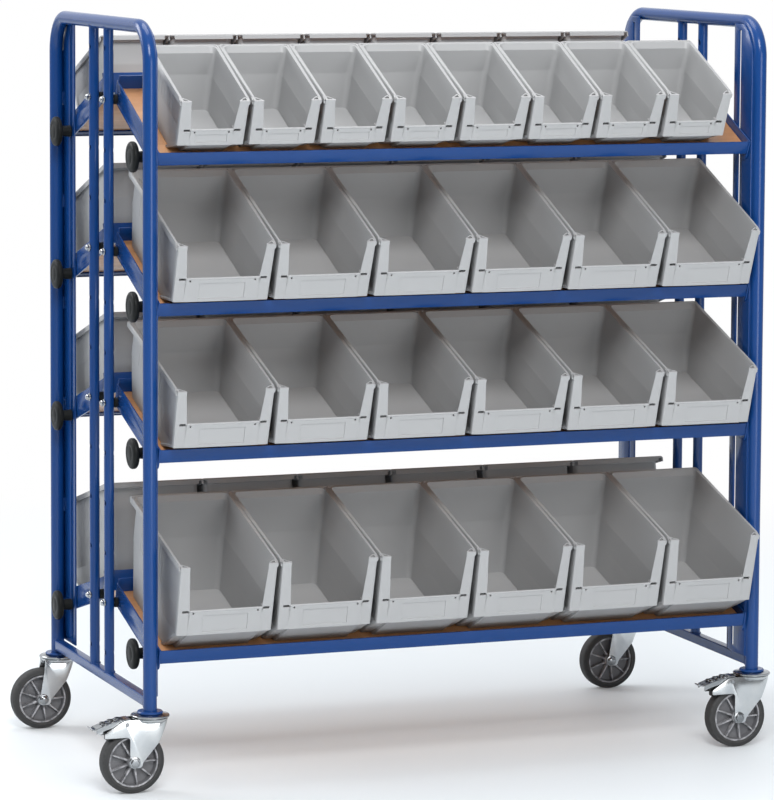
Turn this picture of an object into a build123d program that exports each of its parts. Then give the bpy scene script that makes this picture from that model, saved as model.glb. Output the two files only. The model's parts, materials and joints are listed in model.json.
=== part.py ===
from build123d import *
import os
from math import cos, radians, sin

os.makedirs("parts", exist_ok=True)

# Mobile bin cart: two tube end frames on swivel casters carry eight tilting
# shelves, four on each long side, with rows of open-front bins on them.
# X runs along the cart, Y from the front side to the rear side, Z up.
# The origin is on the floor, below the middle of the whole cart.

# End frames
leg_spacing = 1284.0          # between the end frames, along X
frame_depth = 640.0           # between the two legs of a frame, along Y
leg_tube_d = 26.9
leg_tube_wall = 2.0
top_bar_z = 1474.0            # centre line of the push handle bar
bend_radius = 70.0            # centre line of the bends
leg_foot_z = 153.0            # lower end of the legs
foot_disc_d = 51.0
foot_disc_t = 5.0
low_rail_z = 164.0            # underside of the lower rail
low_rail_size = 20.0
low_rail_wall = 2.0
mid_tube_d = 20.0
mid_tube_wall = 2.0
mid_tube_spacing = 100.0      # between the two middle tubes of a frame
hole_d = 9.0                  # of the holes up the middle tubes
hole_count = 13
lowest_hole_z = 223.0
hole_top_margin = 51.0        # top hole, below the top bar's centre line
guide_t = 3.0                 # slotted guide plate beside each leg
guide_width = 84.0            # from the leg's axis to the plate's inner edge
guide_slot_y = 58.0           # from the leg's axis to the slot's middle
guide_slot_w = 9.0
guide_top_margin = 22.0       # below the top bar's centre line
guide_slot_margin = 14.0      # solid plate past each end of the slot

# Shelves: each turns on bolts through the middle tubes
pivot_holes = (11, 8, 5, 1)   # hole of each tier, top first, counted from 0 at the lowest
front_tilts = (25.1, 22.6, 18.8, 16.7)
rear_tilts = (20.8, 18.8, 16.8, 15.0)
spare_tilt = 3.0              # degrees that each shelf can drop below its rest
arm_t = 3.0
arm_gap = 0.75                # between guide plate and arm
arm_below = 11.0              # arm plate, below the pivot line
arm_above = 34.0              # arm plate, above the pivot line
arm_back = 16.0               # arm plate, behind the pivot
arm_past_stud = 69.0          # arm plate, in front of the clamping stud
arm_corner_r = 12.0
rail_inset = 3.0              # front rail's outer face, behind the arms' ends
rail_t = 3.0
rail_low = 4.0                # lower edge of both rails, above the pivot line
front_rail_top = 31.0
back_rail_top = 45.0
ledge_w = 20.0                # ledge that the board lies on
ledge_t = 3.0
side_ledge_w = 12.0
side_ledge_near = 16.0        # side ledges, from the pivot
side_ledge_far = 190.0
board_t = 8.0
board_top = 17.0              # above the pivot line
board_gap = 0.5
board_corner_r = 9.0

# Pivot bolts and clamping knobs
bolt_d = 8.0
bolt_head_d = 12.0
bolt_head_t = 4.5
nut_t = 6.5
spacer_d = 20.0
running_gap = 0.08            # radial, between a pin and its hole
clamp_slot_h = 12.6           # slot in the arm for the knob's stud
clamp_slot_play = 1.0         # past the stud, at each end of the slot
clamp_nut_d = 12.0
clamp_nut_t = 5.0
knob_d = 60.0
knob_t = 14.0
knob_edge_r = 5.0
knob_neck_d = 24.0
knob_neck_len = 23.0
stud_past_nut = 1.0
knob_gap = 0.3                # knob to guide plate, and nut to arm

# Bins: backs are measured outwards from the shelf's pivot, fronts from the
# outer face of the tray's front rail
bin_wall = 3.0
bin_floor = 3.0
bin_rim_w = 6.0
bin_rim_h = 9.0
bin_base_inset = 10.0         # base narrower than the rim, each side
bin_heel = 36.0               # upright foot of the back wall, below its lean
chin_corner = 22.0            # cut off each side of the chin
chin_step = 12.0              # chin stands in front of the side walls' corners
post_top_w = 12.0             # front posts beside the opening
post_low_w = 19.0
small_pitch = 145.0
small_gap = 3.0               # between neighbours
small_count = 8
small_shift = -18.0           # the row's middle, from the cart's middle
small_height = 128.0
small_rim_back = 54.0
small_base_back = 66.0
small_toe_room = 32.0         # foot, behind the rail
small_overhang = 10.0         # front's widest place, past the rail
small_post_lean = 3.0         # top of the front posts, behind that place
small_chin_h = 36.0
small_lip_h = 67.0
large_pitch = 205.0
large_gap = 0.6
large_count = 6
large_rim_back = -26.0
large_base_back = -12.0
low_shift = 4.0
low_height = 147.0
low_toe_room = 33.0
low_overhang = 22.0
low_post_lean = 2.0
low_chin_h = 29.0
low_lip_h = 77.0
tall_shift = 6.0
tall_height = 201.0
tall_toe_room = 38.0
tall_overhang = 26.0
tall_post_lean = 4.0
tall_chin_h = 59.0
tall_lip_h = 108.0

# Casters
wheel_d = 125.0
wheel_w = 32.0
rim_d = 100.0
rim_ring_t = 5.0
hub_d = 32.0
web_t = 10.0
spoke_count = 9
spoke_w = 4.0
tyre_edge_r = 6.0
tyre_gap = 0.1                # between rim and tyre
trail = 37.0                  # wheel axle behind the swivel axis
axle_d = 10.0
axle_head_d = 17.0
axle_head_t = 5.0
head_d = 76.0                 # bearing bowl of the caster
head_t = 6.5
fork_top_d = 70.0
fork_top_t = 9.0
head_gap = 0.5
cheek_t = 3.0
cheek_gap = 2.5               # between wheel and fork cheek
cheek_behind = 9.0            # cheek, on the trailing side of the axle
cheek_ahead = 16.0            # cheek, on the leading side of the axle
cheek_below = 11.0            # cheek, below the axle
cheek_corner_r = 6.0
cheek_bend_x = 13.0           # bend in the cheek's leading edge, from the swivel axis
cheek_bend_z = 38.0           # the same bend, above the axle
stem_d = 12.0
stem_len = 30.0
pedal_reach = 124.0           # pedal tip, from the swivel axis
pedal_w = 34.0
pedal_t = 4.0
pedal_rise = 5.0              # tread's underside, above the pedal's hinge
pedal_hook = 9.0              # upturned lip at the tip
pedal_hub_d = 14.0
pedal_pin_d = 6.0
pedal_pivot_x = 52.0          # pedal hinge, from the swivel axis
pedal_drop = 9.0              # pedal hinge, below the top of the fork
pedal_slope = 12.0            # degrees, tip down
horn_reach = 96.0             # braked fork's side horns, from the swivel axis
horn_low = 50.0               # horns' lower edge, above the axle
horn_tip = 9.0                # depth of the horns at their tips

overrun = 5.0                 # cutters reach this far past a face


# Worked out from the sizes above
half_length = leg_spacing / 2
half_depth = frame_depth / 2
pivot_reach = half_depth - mid_tube_spacing / 2 - guide_slot_y
arm_front = pivot_reach + arm_past_stud
rail_front = arm_front - rail_inset
small_lip_front = rail_front + small_overhang
low_lip_front = rail_front + low_overhang
tall_lip_front = rail_front + tall_overhang
tall_tip_front = tall_lip_front - tall_post_lean


def bin_reach(tilt):
    """How far the lowest row of bins reaches past its pivot at a tilt."""
    lean = radians(tilt)
    return tall_tip_front * cos(lean) + (board_top + tall_height) * sin(lean)


mid_x = (pedal_reach - head_d / 2) / 2        # the end frames' middle, from the cart's
mid_y = (bin_reach(front_tilts[-1]) - bin_reach(rear_tilts[-1])) / 2
leg_r = leg_tube_d / 2
mid_tube_r = mid_tube_d / 2
end_x = (mid_x - half_length, mid_x + half_length)
inwards = (1, -1)             # from each end frame towards the cart's middle
leg_ys = (mid_y - half_depth, mid_y + half_depth)
tube_ys = (mid_y - mid_tube_spacing / 2, mid_y + mid_tube_spacing / 2)
hole_pitch = (top_bar_z - hole_top_margin - lowest_hole_z) / (hole_count - 1)
hole_zs = [lowest_hole_z + hole_pitch * hole for hole in range(hole_count)]
pivot_zs = [hole_zs[hole] for hole in pivot_holes]
arm_face = leg_r + guide_t + arm_gap          # arm's outer face, from the leg's axis
arm_inner = arm_face + arm_t
shelf_half = half_length - arm_inner          # between the arms' inner faces
low_rail_top = low_rail_z + low_rail_size
bolt_r = bolt_d / 2

export_list = []


def keep(part, name):
    """Name a finished piece and note it for export."""
    part.label = name
    export_list.append((part, name))


def along_x(x, y, z):
    """A plane whose normal is +X, at a point."""
    return Plane(origin=(x, y, z), x_dir=(0, 1, 0), z_dir=(1, 0, 0))


# Welded end frames: bent hoop with foot discs, lower rail, middle tubes
foot_top = leg_foot_z + foot_disc_t
tube_len = top_bar_z - low_rail_top
for side, x in zip(("left", "right"), end_x):
    with BuildPart() as hoop:
        with BuildLine(along_x(x, mid_y, 0)) as hoop_line:
            FilletPolyline(
                (-half_depth, foot_top), (-half_depth, top_bar_z),
                (half_depth, top_bar_z), (half_depth, foot_top),
                radius=bend_radius)
        with BuildSketch(Plane((x, mid_y - half_depth, foot_top))):
            Circle(leg_r)
            Circle(leg_r - leg_tube_wall, mode=Mode.SUBTRACT)
        sweep(path=hoop_line.line)
        with Locations(*[(x, y, leg_foot_z + foot_disc_t / 2) for y in leg_ys]):
            Cylinder(foot_disc_d / 2, foot_disc_t)
            Cylinder(stem_d / 2 + running_gap, foot_disc_t, mode=Mode.SUBTRACT)

    with BuildPart() as low_rail:
        with Locations((x, mid_y, low_rail_z + low_rail_size / 2)):
            Box(low_rail_size, frame_depth, low_rail_size)
            Box(low_rail_size - 2 * low_rail_wall, frame_depth,
                low_rail_size - 2 * low_rail_wall, mode=Mode.SUBTRACT)
        with Locations(*[(x, y, low_rail_z + low_rail_size / 2) for y in leg_ys]):
            Cylinder(leg_r, low_rail_size + 2 * overrun, mode=Mode.SUBTRACT)

    with BuildPart() as mid_tubes:
        with Locations(*[(x, y, low_rail_top + tube_len / 2) for y in tube_ys]):
            Cylinder(mid_tube_r, tube_len)
            Cylinder(mid_tube_r - mid_tube_wall, tube_len, mode=Mode.SUBTRACT)
        with BuildSketch(Plane((x, leg_ys[0], top_bar_z), x_dir=(1, 0, 0), z_dir=(0, 1, 0))):
            Circle(leg_r)
        extrude(amount=frame_depth, mode=Mode.SUBTRACT)
        with BuildSketch(along_x(x, 0, 0)):
            with Locations(*[(y, z) for y in tube_ys for z in hole_zs]):
                Circle(hole_d / 2)
        extrude(amount=mid_tube_d, both=True, mode=Mode.SUBTRACT)

    frame_pieces = [hoop.part, low_rail.part, *mid_tubes.part.solids()]
    keep(Compound(children=frame_pieces), f"{side}_end_frame")

# Slotted guide plates, welded to the legs' inner sides
with BuildPart() as guide_plates:
    plate_z0 = low_rail_top
    plate_z1 = top_bar_z - guide_top_margin
    for x, inward in zip(end_x, inwards):
        for end in (-1, 1):
            near_y = mid_y + end * (half_depth - leg_tube_wall)
            far_y = mid_y + end * (half_depth - guide_width)
            slot_y = mid_y + end * (half_depth - guide_slot_y)
            plate_x = x + inward * (leg_r + guide_t / 2)
            with Locations((plate_x, (near_y + far_y) / 2, (plate_z0 + plate_z1) / 2)):
                Box(guide_t, guide_width - leg_tube_wall, plate_z1 - plate_z0)
            with Locations((plate_x, slot_y, (plate_z0 + plate_z1) / 2)):
                Box(guide_t, guide_slot_w, plate_z1 - plate_z0 - 2 * guide_slot_margin,
                    mode=Mode.SUBTRACT)
keep(guide_plates.part, "guide_plates")

# Pivot bolts with their nuts, and the black spacers between tube and arm
with BuildPart() as pivot_bolts:
    for x, inward in zip(end_x, inwards):
        for y in tube_ys:
            for z in pivot_zs:
                head = Plane(origin=(x + inward * arm_inner, y, z), x_dir=(0, 1, 0), z_dir=(inward, 0, 0))
                tail = Plane(origin=(x - inward * mid_tube_r, y, z), x_dir=(0, 1, 0), z_dir=(-inward, 0, 0))
                with BuildSketch(head):
                    Circle(bolt_head_d / 2)
                extrude(amount=bolt_head_t)
                with BuildSketch(head):
                    Circle(bolt_r)
                extrude(amount=-(arm_inner + mid_tube_r))
                with BuildSketch(tail):
                    RegularPolygon(bolt_head_d / 2, 6)
                extrude(amount=nut_t)
keep(pivot_bolts.part, "pivot_bolts")

with BuildPart() as pivot_spacers:
    for x, inward in zip(end_x, inwards):
        for y in tube_ys:
            for z in pivot_zs:
                seat = Plane(origin=(x + inward * mid_tube_r, y, z), x_dir=(0, 1, 0), z_dir=(inward, 0, 0))
                with BuildSketch(seat):
                    Circle(spacer_d / 2)
                    Circle(bolt_r + running_gap, mode=Mode.SUBTRACT)
                extrude(amount=arm_face - mid_tube_r)
keep(pivot_spacers.part, "pivot_spacers")


def bin_solid(width, height, rim_back, base_back, base_front, lip_front, tip_front, chin_h, lip_h):
    """One open-front bin, standing on z = 0 with x = 0 at its middle.

    y is the distance outwards from the shelf's pivot, as for the whole row.
    """
    half_rim = width / 2
    half_wall = half_rim - bin_rim_w
    half_base = half_rim - bin_base_inset
    side_front = base_front - chin_step
    wall_back = rim_back + bin_rim_w
    with BuildPart() as body:
        with BuildSketch(Plane.YZ):
            with BuildLine():
                Polyline((base_back, 0), (side_front, 0), (lip_front, chin_h), (tip_front, height),
                         (wall_back, height), (base_back, bin_heel), close=True)
            make_face()
        extrude(amount=half_wall, both=True)
        for turn in (1, -1):
            side = Plane(origin=(turn * half_base, 0, 0), x_dir=(0, 1, 0),
                         z_dir=(turn * (height - bin_rim_h), 0, half_base - half_wall))
            split(bisect_by=side, keep=Keep.BOTTOM)
        with BuildSketch(Plane.YZ):
            with BuildLine():
                Polyline((side_front, 0), (base_front, 0), (lip_front, chin_h), close=True)
            make_face()
        extrude(amount=half_base - chin_corner, both=True)
        with Locations((0, (rim_back + tip_front) / 2, height - bin_rim_h / 2)):
            Box(width, tip_front - rim_back, bin_rim_h)
        with BuildSketch(Plane.YZ):
            with BuildLine():
                Polyline((base_back + bin_wall, bin_floor), (side_front - bin_wall, bin_floor),
                         (lip_front - bin_wall, chin_h + bin_floor), (tip_front - bin_wall, height),
                         (wall_back + bin_wall, height), (base_back + bin_wall, bin_heel), close=True)
            make_face()
        extrude(amount=half_base - bin_wall, both=True, mode=Mode.SUBTRACT)
        low_post = half_base - post_low_w
        top_post = half_base - post_top_w
        with BuildSketch(Plane(origin=(0, lip_front + overrun, 0), x_dir=(1, 0, 0), z_dir=(0, -1, 0))):
            with BuildLine():
                Polyline((-low_post, lip_h), (low_post, lip_h),
                         (top_post, height), (-top_post, height), close=True)
            make_face()
        extrude(amount=lip_front - tip_front + bin_wall + 2 * overrun, mode=Mode.SUBTRACT)
    return body.part


small_bin = bin_solid(small_pitch - small_gap, small_height, small_rim_back, small_base_back,
                      rail_front - small_toe_room, small_lip_front, small_lip_front - small_post_lean,
                      small_chin_h, small_lip_h)
low_bin = bin_solid(large_pitch - large_gap, low_height, large_rim_back, large_base_back,
                    rail_front - low_toe_room, low_lip_front, low_lip_front - low_post_lean,
                    low_chin_h, low_lip_h)
tall_bin = bin_solid(large_pitch - large_gap, tall_height, large_rim_back, large_base_back,
                     rail_front - tall_toe_room, tall_lip_front, tall_tip_front,
                     tall_chin_h, tall_lip_h)
tier_bins = (
    (small_bin, small_count, small_pitch, small_shift),
    (low_bin, large_count, large_pitch, low_shift),
    (low_bin, large_count, large_pitch, low_shift),
    (tall_bin, large_count, large_pitch, tall_shift),
)

# Shelf tray, made flat: x along the cart, y outwards from the pivot, z above it
steepest = radians(max(front_tilts + rear_tilts) + spare_tilt)
slot_near = pivot_reach - bolt_r - clamp_slot_play
slot_far = pivot_reach / cos(steepest) + bolt_r + clamp_slot_play
board_low = board_top - board_t
ledge_z = board_low - ledge_t / 2
front_rail_y = rail_front - rail_t
back_rail_y = rail_t - arm_back
with BuildPart() as tray:
    for turn in (-1, 1):
        with BuildSketch(along_x(turn * (shelf_half + arm_t / 2), 0, 0)):
            with Locations(((arm_front - arm_back) / 2, (arm_above - arm_below) / 2)):
                Rectangle(arm_front + arm_back, arm_above + arm_below)
            low_corners = vertices().group_by(Axis.Y)[0]
            fillet(low_corners, arm_corner_r)
        extrude(amount=arm_t / 2, both=True)
    with BuildSketch(along_x(0, 0, 0)):
        Circle(bolt_r + running_gap)
        with Locations(((slot_near + slot_far) / 2, 0)):
            Rectangle(slot_far - slot_near, clamp_slot_h)
    extrude(amount=shelf_half + arm_t, both=True, mode=Mode.SUBTRACT)
    with Locations((0, front_rail_y + rail_t / 2, (rail_low + front_rail_top) / 2)):
        Box(2 * shelf_half, rail_t, front_rail_top - rail_low)
    with Locations((0, back_rail_y - rail_t / 2, (rail_low + back_rail_top) / 2)):
        Box(2 * shelf_half, rail_t, back_rail_top - rail_low)
    with Locations((0, front_rail_y - ledge_w / 2, ledge_z), (0, back_rail_y + ledge_w / 2, ledge_z)):
        Box(2 * (shelf_half - side_ledge_w), ledge_w, ledge_t)
    side_ledge_y = (side_ledge_near + side_ledge_far) / 2
    for turn in (-1, 1):
        with Locations((turn * (shelf_half - side_ledge_w / 2), side_ledge_y, ledge_z)):
            Box(side_ledge_w, side_ledge_far - side_ledge_near, ledge_t)

with BuildPart() as board:
    with Locations((0, (back_rail_y + front_rail_y) / 2, board_top - board_t / 2)):
        Box(2 * (shelf_half - board_gap), front_rail_y - back_rail_y - 2 * board_gap, board_t)
    fillet(edges().filter_by(Axis.Z).group_by(Axis.Y)[-1], board_corner_r)

# Clamping knobs and their nuts, one pair to a shelf, with the stud's axis at the origin
with BuildPart() as knob_pair:
    for x, inward in zip((-half_length, half_length), inwards):
        plate_face = x + inward * (leg_r - knob_gap)
        disc_face = plate_face - inward * knob_neck_len
        neck = Plane(origin=(plate_face, 0, 0), x_dir=(0, 1, 0), z_dir=(-inward, 0, 0))
        disc = Plane(origin=(disc_face, 0, 0), x_dir=(0, 1, 0), z_dir=(-inward, 0, 0))
        with BuildSketch(neck):
            Circle(knob_neck_d / 2)
        extrude(amount=knob_neck_len)
        with BuildSketch(disc):
            Circle(knob_d / 2)
        extrude(amount=knob_t)
        with BuildSketch(neck):
            Circle(bolt_r)
        extrude(amount=leg_r - knob_gap - arm_inner - knob_gap - clamp_nut_t - stud_past_nut)
    outer_faces = faces().filter_by(Axis.X).sort_by(SortBy.AREA)[-2:]
    fillet(outer_faces.edges(), knob_edge_r)

with BuildPart() as clamp_nut_pair:
    for x, inward in zip((-half_length, half_length), inwards):
        nut_face = x + inward * (arm_inner + knob_gap)
        seat = Plane(origin=(nut_face, 0, 0), x_dir=(0, 1, 0), z_dir=(inward, 0, 0))
        with BuildSketch(seat):
            RegularPolygon(clamp_nut_d / 2, 6)
            Circle(bolt_r + running_gap, mode=Mode.SUBTRACT)
        extrude(amount=clamp_nut_t)

for side, outward, tilts in (("front", -1, front_tilts), ("rear", 1, rear_tilts)):
    for tier, tilt in enumerate(tilts):
        lean = radians(tilt)
        name = f"{side}_shelf_{tier + 1}"
        pivot = (mid_x, mid_y + outward * mid_tube_spacing / 2, pivot_zs[tier])
        shelf = Plane(origin=pivot, x_dir=(outward, 0, 0), z_dir=(0, outward * sin(lean), cos(lean)))
        bin_part, count, pitch, shift = tier_bins[tier]
        row_xs = [outward * shift + pitch * (n - (count - 1) / 2) for n in range(count)]
        stud = (mid_x, mid_y + outward * (half_depth - guide_slot_y),
                pivot_zs[tier] - pivot_reach * sin(lean) / cos(lean))
        keep(shelf.location * tray.part, f"{name}_frame")
        keep(shelf.location * board.part, f"{name}_board")
        row = [shelf.location * Location((row_x, 0, board_top)) * bin_part for row_x in row_xs]
        keep(Compound(children=row), f"{name}_bins")
        keep(Location(stud) * knob_pair.part, f"{name}_knobs")
        keep(Location(stud) * clamp_nut_pair.part, f"{name}_clamp_nuts")

# Casters: the head is fixed to the leg, the fork swivels, the wheel turns in it
wheel_r = wheel_d / 2
head_top = leg_foot_z
fork_top = head_top - head_t - head_gap
fork_low = fork_top - fork_top_t
cheek_in = wheel_w / 2 + cheek_gap
corners = [(end, row, x, y)
           for end, x in zip(("left", "right"), end_x)
           for row, y in zip(("front", "rear"), leg_ys)]

with BuildPart() as caster_heads:
    for end, row, x, y in corners:
        with Locations((x, y, head_top - head_t / 2)):
            Cylinder(head_d / 2, head_t)
        with Locations((x, y, head_top + stem_len / 2)):
            Cylinder(stem_d / 2, stem_len)
keep(caster_heads.part, "caster_heads")

with BuildPart() as tyre:
    with BuildSketch(Plane.XZ):
        Circle(wheel_r)
        Circle(rim_d / 2 + tyre_gap, mode=Mode.SUBTRACT)
    extrude(amount=wheel_w / 2, both=True)
    fillet(edges().filter_by(GeomType.CIRCLE).group_by(SortBy.RADIUS)[-1], tyre_edge_r)

spoke_from = (axle_d + hub_d) / 4
spoke_to = (rim_d - rim_ring_t) / 2
with BuildPart() as rim:
    with BuildSketch(Plane.XZ):
        Circle(rim_d / 2)
        Circle(rim_d / 2 - rim_ring_t, mode=Mode.SUBTRACT)
        Circle(hub_d / 2)
        with PolarLocations((spoke_from + spoke_to) / 2, spoke_count):
            Rectangle(spoke_to - spoke_from, spoke_w)
    extrude(amount=wheel_w / 2, both=True)
    with BuildSketch(Plane.XZ):
        Circle(rim_d / 2)
    extrude(amount=web_t / 2, both=True)
    with BuildSketch(Plane.XZ):
        Circle(axle_d / 2 + running_gap)
    extrude(amount=wheel_w, both=True, mode=Mode.SUBTRACT)

with BuildPart() as axle:
    with BuildSketch(Plane.XZ):
        Circle(axle_d / 2)
    extrude(amount=cheek_in + cheek_t, both=True)
    for turn in (1, -1):
        with BuildSketch(Plane.XZ.offset(turn * (cheek_in + cheek_t))):
            RegularPolygon(axle_head_d / 2, 6)
        extrude(amount=turn * axle_head_t)

# Pedal hinge, from the swivel axis at the floor
pin_x = -pedal_pivot_x
pin_z = fork_top - pedal_drop
horn_z = wheel_r + horn_low


def fork_part(braked):
    """Fork with its cheeks, swivelling about x = 0, y = 0."""
    top_half = fork_top_d / 2 - cheek_t
    back_x = -trail - cheek_behind
    cheek = [(top_half, fork_top), (cheek_bend_x, wheel_r + cheek_bend_z), (cheek_ahead - trail, wheel_r),
             (cheek_ahead - trail, wheel_r - cheek_below), (back_x, wheel_r - cheek_below), (back_x, horn_z)]
    if braked:
        cheek += [(-horn_reach, horn_z), (-horn_reach, horn_z + horn_tip), (pin_x, fork_top)]
    else:
        cheek += [(-top_half, fork_low), (-top_half, fork_top)]
    with BuildPart() as fork:
        with Locations((0, 0, (fork_top + fork_low) / 2)):
            Cylinder(fork_top_d / 2, fork_top_t)
        for turn in (1, -1):
            with BuildSketch(Plane.XZ.offset(turn * cheek_in)):
                with BuildLine():
                    Polyline(*cheek, close=True)
                make_face()
                fillet(vertices().group_by(Axis.Y)[0], cheek_corner_r)
                with Locations((-trail, wheel_r)):
                    Circle(axle_d / 2, mode=Mode.SUBTRACT)
                if braked:
                    with Locations((pin_x, pin_z)):
                        Circle(pedal_pin_d / 2 + running_gap, mode=Mode.SUBTRACT)
            extrude(amount=turn * cheek_t)
    return fork.part


with BuildPart() as pedal:
    with BuildSketch(Plane.XZ):
        with Locations((pin_x, pin_z)):
            Circle(pedal_pin_d / 2)
    extrude(amount=cheek_in + cheek_t, both=True)
    with BuildSketch(Plane.XZ):
        with Locations((pin_x, pin_z)):
            Circle(pedal_hub_d / 2)
    extrude(amount=pedal_w / 2, both=True)
    slope = radians(pedal_slope)
    tread_len = (pedal_reach - pedal_pivot_x) / cos(slope)
    tread = Plane(origin=(pin_x, 0, pin_z), x_dir=(-cos(slope), 0, -sin(slope)), z_dir=(0, 1, 0))
    lip_x = tread_len - pedal_t
    with BuildSketch(tread):
        with BuildLine():
            Polyline((0, pedal_rise), (tread_len, pedal_rise), (tread_len, pedal_rise + pedal_hook),
                     (lip_x, pedal_rise + pedal_hook), (lip_x, pedal_rise + pedal_t),
                     (0, pedal_rise + pedal_t), close=True)
        make_face()
    extrude(amount=pedal_w / 2, both=True)

for end, row, x, y in corners:
    braked = row == "front"
    name = f"{row}_{end}"
    swivel = Location((x, y, 0))
    hub = Location((x - trail, y, wheel_r))
    fork_pieces = [swivel * fork_part(braked), hub * axle.part]
    keep(Compound(children=fork_pieces), f"{name}_fork")
    keep(hub * rim.part, f"{name}_wheel_rim")
    keep(hub * tyre.part, f"{name}_tyre")
    if braked:
        keep(swivel * pedal.part, f"{name}_brake_pedal")

for part, name in export_list:
    export_step(part, f"parts/{name}.step")
print(len(export_list), "nodes")
print("middle of the end frames at x", mid_x, "pivot heights", pivot_zs, "stud reach", pivot_reach)
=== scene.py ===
import json
from math import cos, pi, radians, sin, sqrt, tan

import bmesh
import bpy
from mathutils import Matrix, Vector


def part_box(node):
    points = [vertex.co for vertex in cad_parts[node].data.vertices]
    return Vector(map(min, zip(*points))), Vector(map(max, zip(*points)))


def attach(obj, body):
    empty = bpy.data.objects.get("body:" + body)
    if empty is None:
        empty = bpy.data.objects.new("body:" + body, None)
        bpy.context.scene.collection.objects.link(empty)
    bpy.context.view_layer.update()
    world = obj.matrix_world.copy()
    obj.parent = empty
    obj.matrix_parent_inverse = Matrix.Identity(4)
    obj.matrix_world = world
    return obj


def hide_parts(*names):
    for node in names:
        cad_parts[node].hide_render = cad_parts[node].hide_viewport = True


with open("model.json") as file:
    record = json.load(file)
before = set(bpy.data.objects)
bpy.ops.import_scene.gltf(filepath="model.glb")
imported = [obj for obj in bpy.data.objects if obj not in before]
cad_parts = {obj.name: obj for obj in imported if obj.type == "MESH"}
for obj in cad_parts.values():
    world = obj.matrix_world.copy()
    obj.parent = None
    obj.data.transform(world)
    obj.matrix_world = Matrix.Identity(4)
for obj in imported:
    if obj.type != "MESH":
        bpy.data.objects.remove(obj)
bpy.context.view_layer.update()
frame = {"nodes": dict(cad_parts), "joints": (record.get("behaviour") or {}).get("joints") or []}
scene = bpy.context.scene
joints = {joint["name"]: joint for joint in frame["joints"]}
mm = 0.001


# End frames
# Each end of the cart is one bent steel tube, two legs and the push bar in one, with a square rail low down
# and two drilled tubes up the middle, each hole with a sunk mouth. All is welded, then powder coated blue.
leg_r = 13.45 * mm
bend_r = 70 * mm
foot_disc_r = 25.5 * mm
foot_disc_t = 5 * mm
low_rail_z = 164 * mm
low_rail_size = 20 * mm
rail_corner_r = 2.5 * mm
tube_r = 10 * mm
tube_wall = 2 * mm
tube_sink = 0.5 * mm
hole_r = 4.5 * mm
sink_r = 6.8 * mm
sink_from = 6.6 * mm
sink_full = 9 * mm
drill_end = 14 * mm
hole_pitch = 100 * mm
hole_count = 13
lowest_hole_z = 223 * mm
bead_r = 2.1 * mm
bead_step = 2.2 * mm
dust_colour = (0.42, 0.41, 0.39, 1)

frame_box = {end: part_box(f"{end}_end_frame") for end in ("left", "right")}
end_x = {end: (low.x + high.x) / 2 for end, (low, high) in frame_box.items()}
inward = {"left": 1, "right": -1}
outward = {"front": -1, "rear": 1}
frame_low, frame_high = frame_box["left"]
leg_y = {"front": frame_low.y + foot_disc_r, "rear": frame_high.y - foot_disc_r}
bar_z = frame_high.z - leg_r
leg_foot = frame_low.z + foot_disc_t / 2
rail_top = low_rail_z + low_rail_size
rail_mid = low_rail_z + low_rail_size / 2
tube_y = {side: joints[f"{side}_shelf_1_tilt"]["pos_m"][1] for side in outward}


def node(tree, kind, inputs=None, **settings):
    """Add a node. Each input is a value, or the socket that feeds it."""
    made = tree.nodes.new(kind)
    for key, value in settings.items():
        setattr(made, key, value)
    for key, value in (inputs or {}).items():
        if isinstance(value, bpy.types.NodeSocket):
            tree.links.new(value, made.inputs[key])
        else:
            made.inputs[key].default_value = value
    return made


def out(tree, kind, inputs=None, **settings):
    """Add a node and give its first output."""
    return node(tree, kind, inputs, **settings).outputs[0]


def node_group(name, kind, inputs, outputs):
    """A node group with named inputs and outputs, and the sockets of its input node."""
    tree = bpy.data.node_groups.new(name, kind)
    for label, socket, value in inputs:
        item = tree.interface.new_socket(label, in_out="INPUT", socket_type="NodeSocket" + socket)
        if value is not None:
            item.default_value = value
    for label, socket in outputs:
        tree.interface.new_socket(label, in_out="OUTPUT", socket_type="NodeSocket" + socket)
    return tree, tree.nodes.new("NodeGroupInput").outputs


def object_place(tree):
    return node(tree, "ShaderNodeTexCoord").outputs["Object"]


def noise(tree, where, scale, detail, **more):
    return out(tree, "ShaderNodeTexNoise", {"Vector": where, "Scale": scale, "Detail": detail, **more})


def map_range(tree, value, low, high, to_low=0.0, to_high=1.0):
    return out(tree, "ShaderNodeMapRange", {"Value": value, "From Min": low, "From Max": high,
                                            "To Min": to_low, "To Max": to_high})


def blend_colour(tree, mask, first, second):
    return node(tree, "ShaderNodeMix", {0: mask, 6: first, 7: second}, data_type="RGBA").outputs[2]


def times(tree, first, second):
    return out(tree, "ShaderNodeMath", {0: first, 1: second}, operation="MULTIPLY")


def bump(tree, height, distance):
    return out(tree, "ShaderNodeBump", {"Height": height, "Distance": distance, "Strength": 1.0})


def spaced(values):
    """Keyword names as socket names."""
    return {key.replace("_", " "): value for key, value in values.items()}


def use(tree, group, **values):
    """Use a shader group inside a material, with its own values."""
    return node(tree, "ShaderNodeGroup", spaced(values), node_tree=group).outputs


def make_mottle():
    """Broad cloudy patches as a mask, and a fine grain as a height."""
    tree, given = node_group("mottle", "ShaderNodeTree",
                             [("Broad Scale", "Float", 6.0), ("Fine Scale", "Float", 600.0)],
                             [("Patches", "Float"), ("Grain", "Float")])
    where = object_place(tree)
    broad = noise(tree, where, given["Broad Scale"], 4.0, Roughness=0.6)
    fine = noise(tree, where, given["Fine Scale"], 2.0)
    node(tree, "NodeGroupOutput", {"Patches": map_range(tree, broad, 0.3, 0.7), "Grain": fine})
    return tree


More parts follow.
